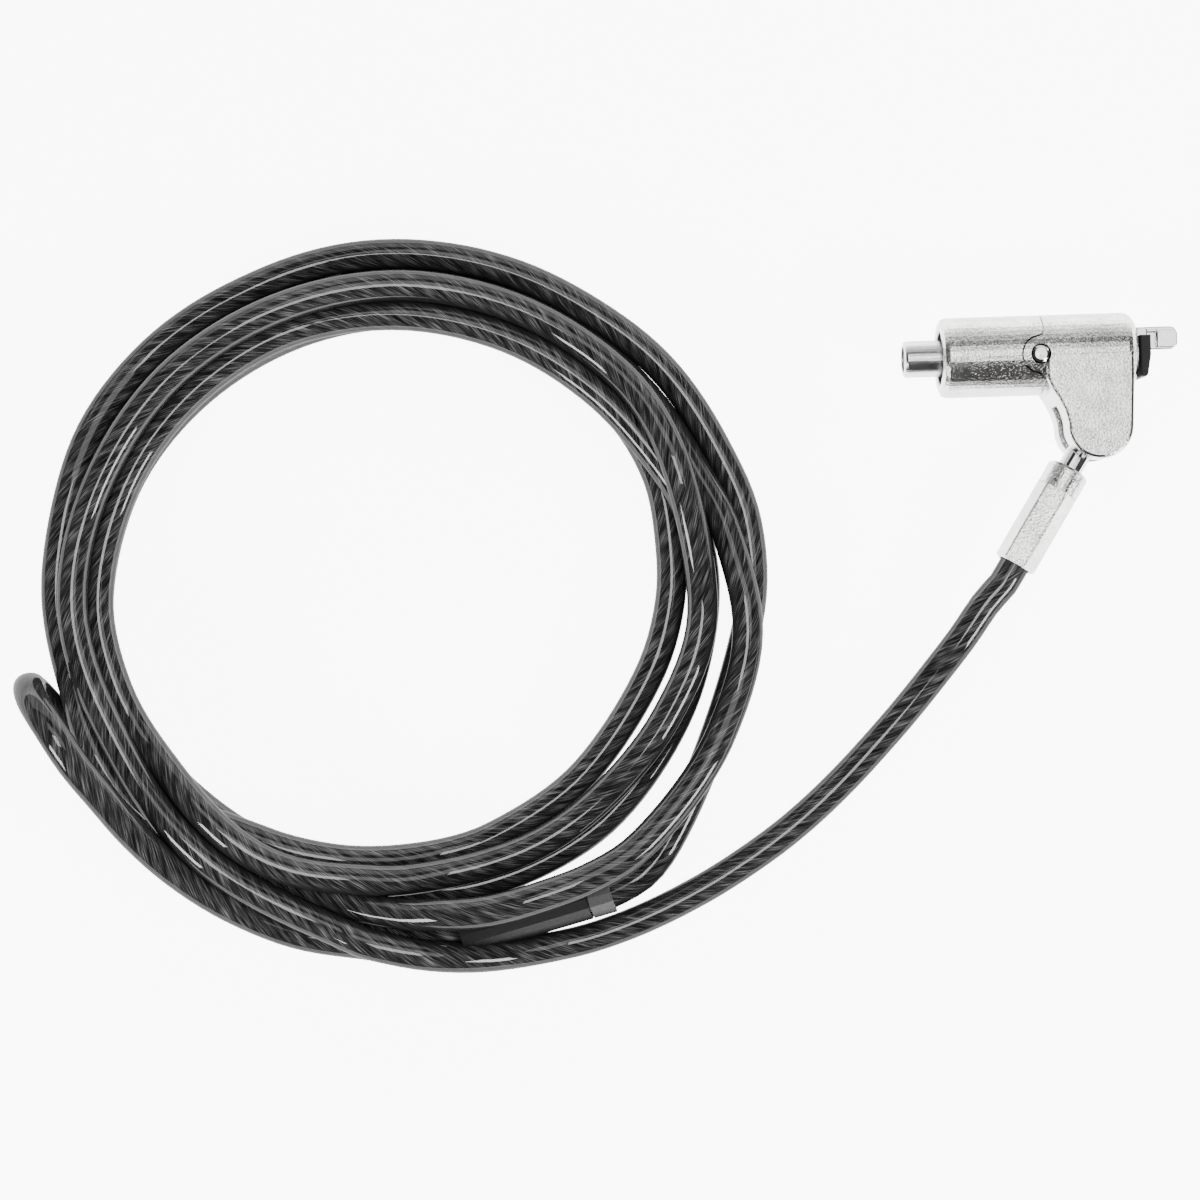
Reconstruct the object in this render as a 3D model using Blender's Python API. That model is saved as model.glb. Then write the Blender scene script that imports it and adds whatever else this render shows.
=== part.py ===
"""Laptop cable lock: a push-to-lock keyed head, its swivel and its looped steel cable.

Everything lies on the plane z = 0. The head's barrel runs along +X towards the hook that
enters the laptop, and the cable's coil lies on the -X side. Head sizes are written from the
head's own zero, the middle of the barrel's rear end, and shift() moves them to the origin.
"""
import math

import bmesh
import bpy
from mathutils import Vector

MM = 0.001
GAP = 0.3                        # play between neighbouring pieces, mm

# Head castings, mm
BARREL_R = 7.15
BORE_R = 4.75
SPLIT_X = 17.8                   # plane where the rear and front castings butt
FRONT_END_X = 34.9
NOSE_LENGTH = 2.3                # length of the rounded front shoulder
NOSE_R = 3.6                     # radius of the flat front face
KNUCKLE_C = (17.03, -0.35)       # centre of the ear and of its rivet
KNUCKLE_R = 3.25
KNUCKLE_FILLET = 1.3
RIVET_R = 1.5

# Swivel flag below the barrel, mm
PIVOT = (27.2, -13.3)
FLAG_R = 5.8
SLOT_Z = (4.65, 9.65)
PIVOT_PIN_R = 1.25
STEM_ANGLE = math.radians(238.1)
STEM_R = 2.25
EYE_R = 3.6

# Ferrule, measured along the stem from the pivot, mm
FERRULE_START = 8.5
FERRULE_END = 28.2
FERRULE_R = 3.8
FERRULE_FLAT = 3.4               # half the width across the crimped flats
FLAT_TURN = 12.0            # one flat faces up, leaning a little to the left
COLLAR_LENGTH = 4.4

# Lock cylinder, mm
SHELL_R = 3.27
SHELL_X = (-6.4, 7.0)
PLUG_R = 2.0
WAFER_X = (-3.6, -1.8, 0.0, 1.8)
BUSH_X = (14.5, 19.6)
BLOCK_X = (19.9, 21.5)

# Hook and locking pin that enter the slot, mm
HOOK_Y = (0.3, 4.4)
HOOK_Z = (7.3, 8.7)
HOOK_ROOT_X = (26.8, 28.8)
HOOK_END_X = 42.3
TOOTH_X = 38.5
PIN_Z = (5.6, 7.0)

# Cable, mm
CABLE_R = 2.75
COIL_C = (-97.5, -40.3)
COIL_R = (45.5, 65.3)
COIL_HEIGHT = 19.0
SLEEVE_ENDS = ((-61.6, -92.9), (-88.3, -99.9))
SLEEVE_Z = 6.5
SLEEVE_TILT = math.radians(71.0)
SLEEVE_SIZE = (13.0, 7.5)
BAND_LENGTH = 4.2

# The lead leaves the ferrule level and comes down to the table before it meets the coil.
LEAD_ROUTE = (
    (7.3, -43.7, 6.7), (2.9, -49.9, 5.9), (-1.8, -55.9, 4.7), (-7.5, -62.8, 3.6),
    (-13.4, -69.3, 3.0), (-18.9, -74.9, 2.8), (-24.6, -80.1, 2.8), (-30.5, -84.8, 2.8),
    (-36.7, -89.0, 2.8), (-43.2, -92.9, 2.8), (-49.9, -96.3, 2.8), (-56.9, -99.3, 2.8),
    (-64.1, -101.7, 2.8), (-69.2, -102.9, 2.8),
)
# The eye stands on its edge: the low leg runs out under the coil, the high one comes back.
LOOP_ROUTE = (
    (-93.4, -99.2, 8.6), (-101.5, -98.6, 6.4), (-112.0, -95.6, 4.0), (-123.0, -90.8, 2.9),
    (-134.8, -85.1, 2.8), (-144.6, -77.6, 2.8), (-152.5, -69.5, 2.8), (-158.0, -62.0, 3.4),
    (-161.4, -56.4, 6.6), (-163.0, -53.4, 13.6), (-161.4, -56.0, 20.6), (-159.0, -61.2, 23.6),
    (-155.5, -67.2, 22.6), (-151.0, -73.6, 19.8), (-145.3, -79.9, 16.2), (-138.0, -86.2, 12.2),
    (-129.0, -92.9, 8.0), (-118.0, -99.0, 4.6), (-107.0, -102.4, 3.3), (-97.5, -103.2, 3.4),
)

SEGMENTS = 48
SMALL_SEGMENTS = 24

# The head stands at the middle of its own box, without the cable.
FERRULE_LOW_Y = (PIVOT[1] + FERRULE_END * math.sin(STEM_ANGLE)
                 + FERRULE_R * math.cos(STEM_ANGLE))
ORIGIN_X = (SHELL_X[0] + HOOK_END_X) / 2
ORIGIN_Y = (BARREL_R + FERRULE_LOW_Y) / 2

METALS = {
    "satin_nickel": ((0.72, 0.71, 0.69), 0.34, 1.0),
    "turned_steel": ((0.62, 0.62, 0.61), 0.28, 1.0),
    "chrome": ((0.80, 0.81, 0.83), 0.10, 1.0),
    "brass": ((0.72, 0.55, 0.26), 0.32, 1.0),
    "spring_steel": ((0.50, 0.50, 0.52), 0.35, 1.0),
    "black_rubber": ((0.02, 0.02, 0.022), 0.65, 0.0),
    "black_sleeve": ((0.012, 0.012, 0.013), 0.45, 0.0),
    "grey_sleeve": ((0.06, 0.06, 0.065), 0.40, 0.3),
    "cable_vinyl": ((0.05, 0.05, 0.055), 0.25, 0.2),
    "aluminium": ((0.62, 0.63, 0.65), 0.40, 1.0),
}


# ---------------------------------------------------------------- helpers

def shift(x, y, z):
    """Head millimetres to the row's metres."""
    return Vector(((x - ORIGIN_X) * MM, (y - ORIGIN_Y) * MM, z * MM))


def clear_scene():
    for obj in list(bpy.data.objects):
        bpy.data.objects.remove(obj)


def finish_material(name):
    """One shared Principled material per finish."""
    if name in bpy.data.materials:
        return bpy.data.materials[name]
    colour, roughness, metallic = METALS[name]
    material = bpy.data.materials.new(name)
    material.use_nodes = True
    shader = material.node_tree.nodes["Principled BSDF"]
    shader.inputs["Base Color"].default_value = (*colour, 1.0)
    shader.inputs["Roughness"].default_value = roughness
    shader.inputs["Metallic"].default_value = metallic
    return material


def add_object(name, bm, finish=None):
    """Put a bmesh, already in metres, in the scene as an object."""
    bmesh.ops.recalc_face_normals(bm, faces=bm.faces)
    mesh = bpy.data.meshes.new(name)
    bm.to_mesh(mesh)
    bm.free()
    mesh.shade_smooth()
    mesh.set_sharp_from_angle(angle=math.radians(35))
    obj = bpy.data.objects.new(name, mesh)
    bpy.context.collection.objects.link(obj)
    if finish:
        mesh.materials.append(finish_material(finish))
    return obj


def boolean(obj, tool, operation="DIFFERENCE"):
    """Keep the tool as a hidden guide and add the modifier that uses it."""
    tool.hide_render = True
    tool.display_type = "WIRE"
    modifier = obj.modifiers.new(f"{operation.title()} {tool.name}", "BOOLEAN")
    modifier.operation = operation
    modifier.object = tool
    return obj


def turned(name, profile, start, direction, segments=SMALL_SEGMENTS, finish=None):
    """Turn a closed (distance, radius) profile about the line from start along direction.

    A profile whose ends lie on the axis makes a solid bar; otherwise it makes a ring.
    """
    axis = Vector(direction).normalized()
    side = axis.orthogonal().normalized()
    up = axis.cross(side)
    bm = bmesh.new()
    rings = []
    for distance, radius in profile:
        centre = Vector(start) + axis * distance
        if radius == 0:
            rings.append([bm.verts.new(shift(*centre))])
            continue
        ring = []
        for i in range(segments):
            angle = 2 * math.pi * (i + 0.5) / segments
            point = centre + (side * math.cos(angle) + up * math.sin(angle)) * radius
            ring.append(bm.verts.new(shift(*point)))
        rings.append(ring)
    closed = profile[0][1] != 0
    pairs = list(zip(rings, rings[1:] + rings[:1])) if closed else list(zip(rings, rings[1:]))
    for a, b in pairs:
        for i in range(segments):
            j = (i + 1) % segments
            corners = [a[i % len(a)], a[j % len(a)], b[j % len(b)], b[i % len(b)]]
            bm.faces.new(list(dict.fromkeys(corners)))
    return add_object(name, bm, finish)


def prism(name, outline, low, high, finish=None, edge=0.0):
    """Extrude an (x, y) outline from z = low to high, with its rims rounded by edge."""
    bm = bmesh.new()
    bottom = [bm.verts.new(shift(x, y, low)) for x, y in outline]
    face = bm.faces.new(bottom)
    top = bmesh.ops.extrude_face_region(bm, geom=[face])["geom"]
    moved = [v for v in top if isinstance(v, bmesh.types.BMVert)]
    bmesh.ops.translate(bm, verts=moved, vec=Vector((0, 0, (high - low) * MM)))
    if edge:
        rims = [e for e in bm.edges if abs(e.verts[0].co.z - e.verts[1].co.z) < 1e-6]
        bmesh.ops.bevel(bm, geom=rims, offset=edge * MM, segments=2, profile=0.5,
                        affect="EDGES")
    return add_object(name, bm, finish)


def box(name, xs, ys, zs, finish=None, edge=0.0):
    """A block between the given (low, high) pairs."""
    outline = [(xs[0], ys[0]), (xs[1], ys[0]), (xs[1], ys[1]), (xs[0], ys[1])]
    return prism(name, outline, zs[0], zs[1], finish, edge)


def arc(centre, radius, start, end, steps):
    """Points along an arc, angles in degrees."""
    points = []
    for i in range(steps + 1):
        angle = math.radians(start + (end - start) * i / steps)
        points.append((centre[0] + radius * math.cos(angle),
                       centre[1] + radius * math.sin(angle)))
    return points


def smooth_route(points, count):
    """Evenly spaced points on a centripetal Catmull-Rom curve through the route."""
    route = [Vector(p) for p in points]
    route = [route[0] * 2 - route[1]] + route + [route[-1] * 2 - route[-2]]
    fine = []
    for p0, p1, p2, p3 in zip(route, route[1:], route[2:], route[3:]):
        t1 = (p1 - p0).length ** 0.5
        t2 = t1 + (p2 - p1).length ** 0.5
        t3 = t2 + (p3 - p2).length ** 0.5
        for i in range(12):
            t = t1 + (t2 - t1) * i / 12
            a1 = p0 * ((t1 - t) / t1) + p1 * (t / t1)
            a2 = p1 * ((t2 - t) / (t2 - t1)) + p2 * ((t - t1) / (t2 - t1))
            a3 = p2 * ((t3 - t) / (t3 - t2)) + p3 * ((t - t2) / (t3 - t2))
            b1 = a1 * ((t2 - t) / t2) + a2 * (t / t2)
            b2 = a2 * ((t3 - t) / (t3 - t1)) + a3 * ((t - t1) / (t3 - t1))
            fine.append(b1 * ((t2 - t) / (t2 - t1)) + b2 * ((t - t1) / (t2 - t1)))
    fine.append(route[-2])
    lengths = [0.0]
    for a, b in zip(fine, fine[1:]):
        lengths.append(lengths[-1] + (b - a).length)
    even = []
    k = 0
    for i in range(count):
        target = lengths[-1] * i / (count - 1)
        while k < len(fine) - 2 and lengths[k + 1] < target:
            k += 1
        share = (target - lengths[k]) / (lengths[k + 1] - lengths[k])
        even.append(fine[k].lerp(fine[k + 1], share))
    return even


def tube(name, points, radius, finish=None, resolution=2):
    """A round cord along the given points."""
    curve = bpy.data.curves.new(name, "CURVE")
    curve.dimensions = "3D"
    curve.bevel_depth = radius * MM
    curve.bevel_resolution = resolution
    curve.use_fill_caps = True
    spline = curve.splines.new("POLY")
    spline.points.add(len(points) - 1)
    for target, point in zip(spline.points, points):
        target.co = (*shift(*point), 1.0)
    obj = bpy.data.objects.new(name, curve)
    bpy.context.collection.objects.link(obj)
    if finish:
        curve.materials.append(finish_material(finish))
    return obj


def tube_tool(name, points, radius):
    """The same cord as a mesh, for cutting."""
    guide = tube(name + "_guide", points, radius)
    mesh = bpy.data.meshes.new_from_object(guide)
    bpy.data.objects.remove(guide)
    tool = bpy.data.objects.new(name, mesh)
    bpy.context.collection.objects.link(tool)
    return tool


# ---------------------------------------------------------------- castings

def split_outline(grow):
    """Outline of the space that the front casting takes, moved outwards by grow.

    It is a straight butt plane with a round ear, and a fillet on each side of the ear.
    """
    plane_x = SPLIT_X - grow
    ear_r = KNUCKLE_R + grow
    fillet = KNUCKLE_FILLET - grow
    offset_x = plane_x - fillet - KNUCKLE_C[0]
    offset_y = math.sqrt((ear_r + fillet) ** 2 - offset_x ** 2)
    turn = math.degrees(math.atan2(offset_y, offset_x))
    upper = (KNUCKLE_C[0] + offset_x, KNUCKLE_C[1] + offset_y)
    lower = (KNUCKLE_C[0] + offset_x, KNUCKLE_C[1] - offset_y)
    points = [(45.0, -30.0), (plane_x, -30.0)]
    points += arc(lower, fillet, 0, 180 - turn, 4)
    points += arc(KNUCKLE_C, ear_r, 360 - turn, turn, 14)[1:-1]
    points += arc(upper, fillet, turn - 180, 0, 4)
    points += [(plane_x, 30.0), (45.0, 30.0)]
    return points


def bore_tool(name, start, end, radius=BORE_R):
    return turned(name, [(start, 0), (start, radius), (end, radius), (end, 0)],
                  (0, 0, BARREL_R), (1, 0, 0), SEGMENTS)


def rear_housing():
    """Barrel casting with a rounded rim; the front casting's ears sit in its notches."""
    profile = [(1.1, BARREL_R), (0.32, BARREL_R - 0.32), (0, BARREL_R - 1.1),
               (0, BORE_R + 0.35), (0.35, BORE_R), (SPLIT_X, BORE_R), (SPLIT_X, BARREL_R)]
    body = turned("rear_housing", profile, (0, 0, BARREL_R), (1, 0, 0), SEGMENTS,
                  "satin_nickel")
    notch = prism("cut_rear_notch", split_outline(GAP / 2), -5, 20)
    return boolean(body, notch)


def flag_outline():
    """Side view of the flag that carries the swivel: a waisted edge and a round end."""
    points = [(SPLIT_X + 0.1, 0.0), (SPLIT_X + 0.1, -4.6), (18.6, -6.4), (19.8, -8.3),
              (20.7, -10.2), (21.2, -11.7)]
    points += arc(PIVOT, FLAG_R, 176, 360, 22)
    points += [(33.35, -6.0), (33.5, 0.0)]
    return points


def slot_outline():
    """Where the stem can stand: open to the rear and below, closed towards the laptop."""
    return [(12.0, -9.3), (24.5, -9.3), (27.2, -8.9), (29.8, -9.8), (31.3, -12.0),
            (31.3, -15.0), (37.0, -19.0), (37.0, -30.0), (12.0, -30.0)]


def front_housing():
    """Front sleeve and flag in one casting, with an ear on each face for the rivets."""
    nose = [(12.0, 0), (12.0, BARREL_R), (FRONT_END_X - NOSE_LENGTH, BARREL_R)]
    for i in range(1, 6):
        angle = math.radians(90 * i / 5)
        nose.append((FRONT_END_X - NOSE_LENGTH * (1 - math.sin(angle)),
                     NOSE_R + (BARREL_R - NOSE_R) * math.cos(angle)))
    nose.append((FRONT_END_X, 0))
    body = turned("front_housing", nose, (0, 0, BARREL_R), (1, 0, 0), SEGMENTS,
                  "satin_nickel")
    boolean(body, prism("join_flag", flag_outline(), 0.0, 2 * BARREL_R, edge=0.6), "UNION")
    boolean(body, prism("keep_front", split_outline(-GAP / 2), -5, 20), "INTERSECT")
    boolean(body, bore_tool("cut_front_bore", 10.0, HOOK_ROOT_X[1] + GAP))
    boolean(body, box("cut_nose_channel", (HOOK_ROOT_X[1] - 1, 40.0),
                      (HOOK_Y[0] - GAP, HOOK_Y[1] + GAP), (PIN_Z[0] - GAP, HOOK_Z[1] + GAP)))
    boolean(body, prism("cut_stem_slot", slot_outline(), *SLOT_Z))
    boolean(body, turned("cut_pivot_hole", [(-1, 0), (-1, PIVOT_PIN_R + GAP),
                         (12.3, PIVOT_PIN_R + GAP), (12.3, 0)], (*PIVOT, 0), (0, 0, 1)))
    boolean(body, turned("cut_rivet_hole", [(-3, 0), (-3, RIVET_R + GAP),
                         (17, RIVET_R + GAP), (17, 0)], (*KNUCKLE_C, 0), (0, 0, 1)))
    return body


def rivet(name, outward):
    """Round rivet through one ear into the coupling bush; its head is a low dome."""
    profile = [(2.4, 0), (2.4, RIVET_R), (6.8, RIVET_R), (7.02, RIVET_R * 0.7), (7.1, 0)]
    return turned(name, profile, (*KNUCKLE_C, BARREL_R), (0, 0, outward), finish="chrome")


def coupling_bush():
    """Steel bush inside both castings; the rivets hold it and it guides the spindle."""
    profile = [(BUSH_X[0], 1.7), (BUSH_X[0], BORE_R - GAP), (BUSH_X[1], BORE_R - GAP),
               (BUSH_X[1], 1.7)]
    bush = turned("coupling_bush", profile, (0, 0, BARREL_R), (1, 0, 0), finish="brass")
    for side in (-1, 1):
        hole = turned(f"cut_bush_{'near' if side > 0 else 'far'}",
                      [(2.1, 0), (2.1, RIVET_R + GAP), (8, RIVET_R + GAP), (8, 0)],
                      (*KNUCKLE_C, BARREL_R), (0, 0, side))
        boolean(bush, hole)
    return bush


# ---------------------------------------------------------------- lock cylinder

def cylinder_sleeve():
    """Fixed liner that the push cylinder slides in; its slot lets the bolt travel."""
    outer = BORE_R - GAP
    inner = SHELL_R + GAP
    profile = [(1.0, inner), (1.0, outer), (14.2, outer), (14.2, inner)]
    sleeve = turned("cylinder_sleeve", profile, (0, 0, BARREL_R), (1, 0, 0),
                    SEGMENTS, "turned_steel")
    slot = box("cut_bolt_track", (3.2, 10.2), (2.5, 6.0), (BARREL_R - 1, BARREL_R + 1))
    return boolean(sleeve, slot)


def push_cylinder():
    """The part that a thumb presses: a shell round the key plug."""
    x0, x1 = SHELL_X
    bore = PLUG_R + GAP
    profile = [(x0, bore), (x0, SHELL_R - 0.55), (x0 + 0.16, SHELL_R - 0.16),
               (x0 + 0.55, SHELL_R), (x1, SHELL_R), (x1, 0.9), (x1 - 1.1, 0.9),
               (x1 - 1.1, bore)]
    shell = turned("push_cylinder", profile, (0, 0, BARREL_R), (1, 0, 0), SEGMENTS,
                   "turned_steel")
    window = box("cut_bolt_window", (3.3, 5.1), (1.8, 4.0), (BARREL_R - 1, BARREL_R + 1))
    return boolean(shell, window)


def key_plug():
    """Turning core with a flat keyway, four wafer slots and a neck for the bolt."""
    x0 = SHELL_X[0] + GAP
    profile = [(x0, 0), (x0, PLUG_R), (3.2, PLUG_R), (3.2, 1.2), (5.2, 1.2), (5.2, PLUG_R),
               (5.6, PLUG_R), (5.6, 0)]
    plug = turned("key_plug", profile, (0, 0, BARREL_R), (1, 0, 0), finish="brass")
    boolean(plug, box("cut_keyway", (x0 - 1, 2.6), (-0.45, 0.45),
                      (BARREL_R - 1.3, BARREL_R + 1.3)))
    for i, x in enumerate(WAFER_X, 1):
        boolean(plug, box(f"cut_wafer_slot_{i}", (x - 0.55, x + 0.55), (-1.3, 1.3),
                          (BARREL_R - 3, BARREL_R + 3)))
    return plug


def wafer(index, x):
    """Thin brass plate with a window that the key passes through."""
    plate = box(f"wafer_{index}", (x - 0.25, x + 0.25), (-1.0, 1.0),
                (BARREL_R - 1.55, BARREL_R + 1.55), "brass")
    window = box(f"cut_wafer_{index}", (x - 1, x + 1), (-0.5, 0.5),
                 (BARREL_R - 0.9, BARREL_R + 0.9))
    return boolean(plate, window)


def locking_bolt():
    """Small block that stands out of the push cylinder into the liner's slot."""
    return box("locking_bolt", (3.6, 4.8), (2.45, 4.1), (BARREL_R - 0.7, BARREL_R + 0.7),
               "turned_steel")


def push_spindle():
    """Rod from the push cylinder to the locking pin, with a tenon at each end."""
    profile = [(SHELL_X[1] - 0.9, 0), (SHELL_X[1] - 0.9, 0.6), (SHELL_X[1] + GAP, 0.6),
               (SHELL_X[1] + GAP, 1.35), (BLOCK_X[0] - GAP, 1.35), (BLOCK_X[0] - GAP, 0.6),
               (BLOCK_X[1] - 0.2, 0.6), (BLOCK_X[1] - 0.2, 0)]
    return turned("push_spindle", profile, (0, 0, BARREL_R), (1, 0, 0),
                  finish="turned_steel")


def locking_pin():
    """Flat pin that the spindle drives out beside the hook to fill the laptop's slot."""
    y0, y1 = HOOK_Y[0] + 0.2, HOOK_Y[1] - 0.2
    outline = [(BLOCK_X[0], -1.6), (BLOCK_X[1], -1.6), (BLOCK_X[1], y0),
               (FRONT_END_X - 0.4, y0), (FRONT_END_X - 0.4, y1), (BLOCK_X[0], y1)]
    pin = prism("locking_pin", outline, *PIN_Z, "turned_steel")
    boolean(pin, box("join_pin_block", BLOCK_X, (-1.6, y1 - 1.2), (PIN_Z[0], 8.6)), "UNION")
    hole = bore_tool("cut_pin_tenon", BLOCK_X[0] - 1, BLOCK_X[1] + 1, 0.9)
    return boolean(pin, hole)


def return_spring():
    """Compression spring round the spindle, from the push cylinder to the bush."""
    turns = 4.5
    steps = 54
    start, end = SHELL_X[1] + 0.6, BUSH_X[0] - 0.6
    points = []
    for i in range(steps + 1):
        angle = 2 * math.pi * turns * i / steps
        points.append((start + (end - start) * i / steps, 2.6 * math.cos(angle),
                       BARREL_R + 2.6 * math.sin(angle)))
    return tube("return_spring", points, 0.25, "spring_steel", resolution=1)


# ---------------------------------------------------------------- nose

def hook_arm():
    """Hook with a raised tooth; its half-disc root is held inside the front casting."""
    root = turned("hook_arm", [(HOOK_ROOT_X[0], 0), (HOOK_ROOT_X[0], BORE_R - GAP),
                  (HOOK_ROOT_X[1], BORE_R - GAP), (HOOK_ROOT_X[1], 0)],
                  (0, 0, BARREL_R), (1, 0, 0), finish="chrome")
    boolean(root, box("cut_hook_root", (HOOK_ROOT_X[0] - 1, HOOK_ROOT_X[1] + 1), (-6, 6),
                      (0, HOOK_Z[0])))
    middle = (HOOK_Y[0] + HOOK_Y[1]) / 2
    half = (HOOK_Y[1] - HOOK_Y[0]) / 2
    blade = [(HOOK_ROOT_X[0] + 1, HOOK_Y[0])]
    blade += arc((HOOK_END_X - 1.3, HOOK_Y[0] + 1.3), 1.3, -90, 0, 4)
    blade += arc((HOOK_END_X - 1.3, HOOK_Y[1] - 1.3), 1.3, 0, 90, 4)
    blade += [(HOOK_ROOT_X[0] + 1, HOOK_Y[1])]
    boolean(root, prism("join_hook_blade", blade, *HOOK_Z), "UNION")
    tooth = [(TOOTH_X, middle - half + 1.0)]
    tooth += arc((HOOK_END_X - 1.2, middle - half + 2.1), 1.1, -90, 0, 3)
    tooth += arc((HOOK_END_X - 1.2, middle + half - 1.9), 1.1, 0, 90, 3)
    tooth += [(TOOTH_X, middle + half - 0.8)]
    boolean(root, prism("join_hook_tooth", tooth, HOOK_Z[0] + 0.4, HOOK_Z[1] + 0.9), "UNION")
    return root


def rubber_pad():
    """Wedge-shaped pad that bears on the laptop, notched round the hook."""
    x0 = FRONT_END_X + GAP
    outline = [(x0, -4.6), (x0 + 1.0, -4.6), (x0 + 1.3, -4.3), (x0 + 1.9, -0.8),
               (x0 + 1.9, 2.75), (x0, 2.75)]
    pad = prism("rubber_pad", outline, BARREL_R - 4.0, BARREL_R + 4.0, "black_rubber", 0.3)
    notch = box("cut_pad_notch", (x0 - 1, x0 + 4), (HOOK_Y[0] - GAP, 8),
                (PIN_Z[0] - GAP, HOOK_Z[1] + GAP))
    return boolean(pad, notch)


# ---------------------------------------------------------------- swivel and ferrule

def stem_direction():
    return (math.cos(STEM_ANGLE), math.sin(STEM_ANGLE), 0.0)


def pivot_pin():
    profile = [(0.3, 0), (0.3, PIVOT_PIN_R), (12.0, PIVOT_PIN_R), (12.0, 0)]
    return turned("pivot_pin", profile, (*PIVOT, 0), (0, 0, 1), finish="turned_steel")


def swivel_stem():
    """Eye on the pivot pin, a shank and a head that turns inside the ferrule."""
    half = (SLOT_Z[1] - SLOT_Z[0]) / 2 - GAP
    start = (*PIVOT, BARREL_R)
    shank = [(1.9, 0), (1.9, STEM_R), (10.5, STEM_R), (10.5, 1.7), (11.9, 1.7), (11.9, 2.8),
             (13.4, 2.8), (13.4, 0)]
    stem = turned("swivel_stem", shank, start, stem_direction(), finish="satin_nickel")
    eye = turned("join_stem_eye", [(-half, 0), (-half, EYE_R), (half, EYE_R), (half, 0)],
                 start, (0, 0, 1))
    boolean(stem, eye, "UNION")
    hole = turned("cut_stem_eye", [(-8, 0), (-8, PIVOT_PIN_R + GAP), (8, PIVOT_PIN_R + GAP),
                  (8, 0)], start, (0, 0, 1))
    return boolean(stem, hole)


def swivel_washer():
    profile = [(10.8, 2.0), (10.8, 2.8), (11.6, 2.8), (11.6, 2.0)]
    return turned("swivel_washer", profile, (*PIVOT, BARREL_R), stem_direction(),
                  finish="brass")


def ferrule():
    """Round collar over the stem's head, then six crimped flats over the cable."""
    profile = [(FERRULE_START, STEM_R + GAP), (FERRULE_START, FERRULE_R - 0.6),
               (FERRULE_START + 0.5, FERRULE_R), (FERRULE_END - 0.4, FERRULE_R),
               (FERRULE_END, FERRULE_R - 0.4), (FERRULE_END, CABLE_R + GAP),
               (14.2, CABLE_R + GAP), (14.2, 3.15), (10.4, 3.15), (10.4, STEM_R + GAP)]
    start = (*PIVOT, BARREL_R)
    body = turned("ferrule", profile, start, stem_direction(), SEGMENTS, "satin_nickel")
    flats = ferrule_flats(start)
    return boolean(body, flats)


def ferrule_flats(start):
    """A thick ring with a six-sided hole, which shaves the flats."""
    axis = Vector(stem_direction())
    side = Vector((-axis.y, axis.x, 0.0))
    up = Vector((0, 0, 1))
    begin, end = FERRULE_START + COLLAR_LENGTH, FERRULE_END + 2
    inner = FERRULE_FLAT / math.cos(math.radians(30))
    bm = bmesh.new()
    rings = []
    for distance, radius in ((begin, inner), (begin, 8.0), (end, 8.0), (end, inner)):
        ring = []
        for i in range(6):
            angle = math.radians(60 * i + FLAT_TURN)
            point = Vector(start) + axis * distance
            point += (side * math.cos(angle) + up * math.sin(angle)) * radius
            ring.append(bm.verts.new(shift(*point)))
        rings.append(ring)
    for a, b in zip(rings, rings[1:] + rings[:1]):
        for i in range(6):
            j = (i + 1) % 6
            bm.faces.new([a[i], a[j], b[j], b[i]])
    return add_object("cut_ferrule_flats", bm)


# ---------------------------------------------------------------- cable

def sleeve_axes():
    """Start, unit axis and the two cross-section directions of the crimped sleeve."""
    start = Vector((*SLEEVE_ENDS[0], SLEEVE_Z))
    axis = (Vector((*SLEEVE_ENDS[1], SLEEVE_Z)) - start)
    length = axis.length
    axis.normalize()
    inward = Vector((0, 0, 1)).cross(axis)
    if inward.y < 0:
        inward = -inward
    long_side = inward * math.cos(SLEEVE_TILT) + Vector((0, 0, 1)) * math.sin(SLEEVE_TILT)
    return start, axis, long_side, axis.cross(long_side), length


def stadium(width, height, steps=6):
    """Oval section: two half rounds joined by straight sides."""
    radius = height / 2
    reach = (width - height) / 2
    return arc((reach, 0), radius, -90, 90, steps) + arc((-reach, 0), radius, 90, 270, steps)


def oval_bar(name, start, end, size, hole=None, finish=None):
    """A stretch of the sleeve between two distances, hollow if hole is given."""
    origin, axis, across, through, _ = sleeve_axes()
    sections = [(start, size), (end, size)]
    if hole:
        sections += [(end, hole), (start, hole)]
    bm = bmesh.new()
    rings = []
    for distance, (width, height) in sections:
        ring = []
        for u, v in stadium(width, height):
            point = origin + axis * distance + across * u + through * v
            ring.append(bm.verts.new(shift(*point)))
        rings.append(ring)
    count = len(rings[0])
    pairs = zip(rings, rings[1:] + rings[:1]) if hole else zip(rings, rings[1:])
    for a, b in pairs:
        for i in range(count):
            j = (i + 1) % count
            bm.faces.new([a[i], a[j], b[j], b[i]])
    if not hole:
        bm.faces.new(rings[0])
        bm.faces.new(rings[-1])
    return add_object(name, bm, finish)


def crimp():
    """Swaged core, black cover and the plain band at the end where the cable enters."""
    length = sleeve_axes()[4]
    width, height = SLEEVE_SIZE
    hollow = (width - 1.4, height - 1.4)
    core = (width - 2.0, height - 2.0)
    oval_bar("crimp_core", 0.6, length - 0.6, core, finish="aluminium")
    oval_bar("end_band", 0.0, BAND_LENGTH, SLEEVE_SIZE, hollow, "grey_sleeve")
    oval_bar("shrink_cover", BAND_LENGTH + GAP, length, SLEEVE_SIZE, hollow, "black_sleeve")


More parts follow.
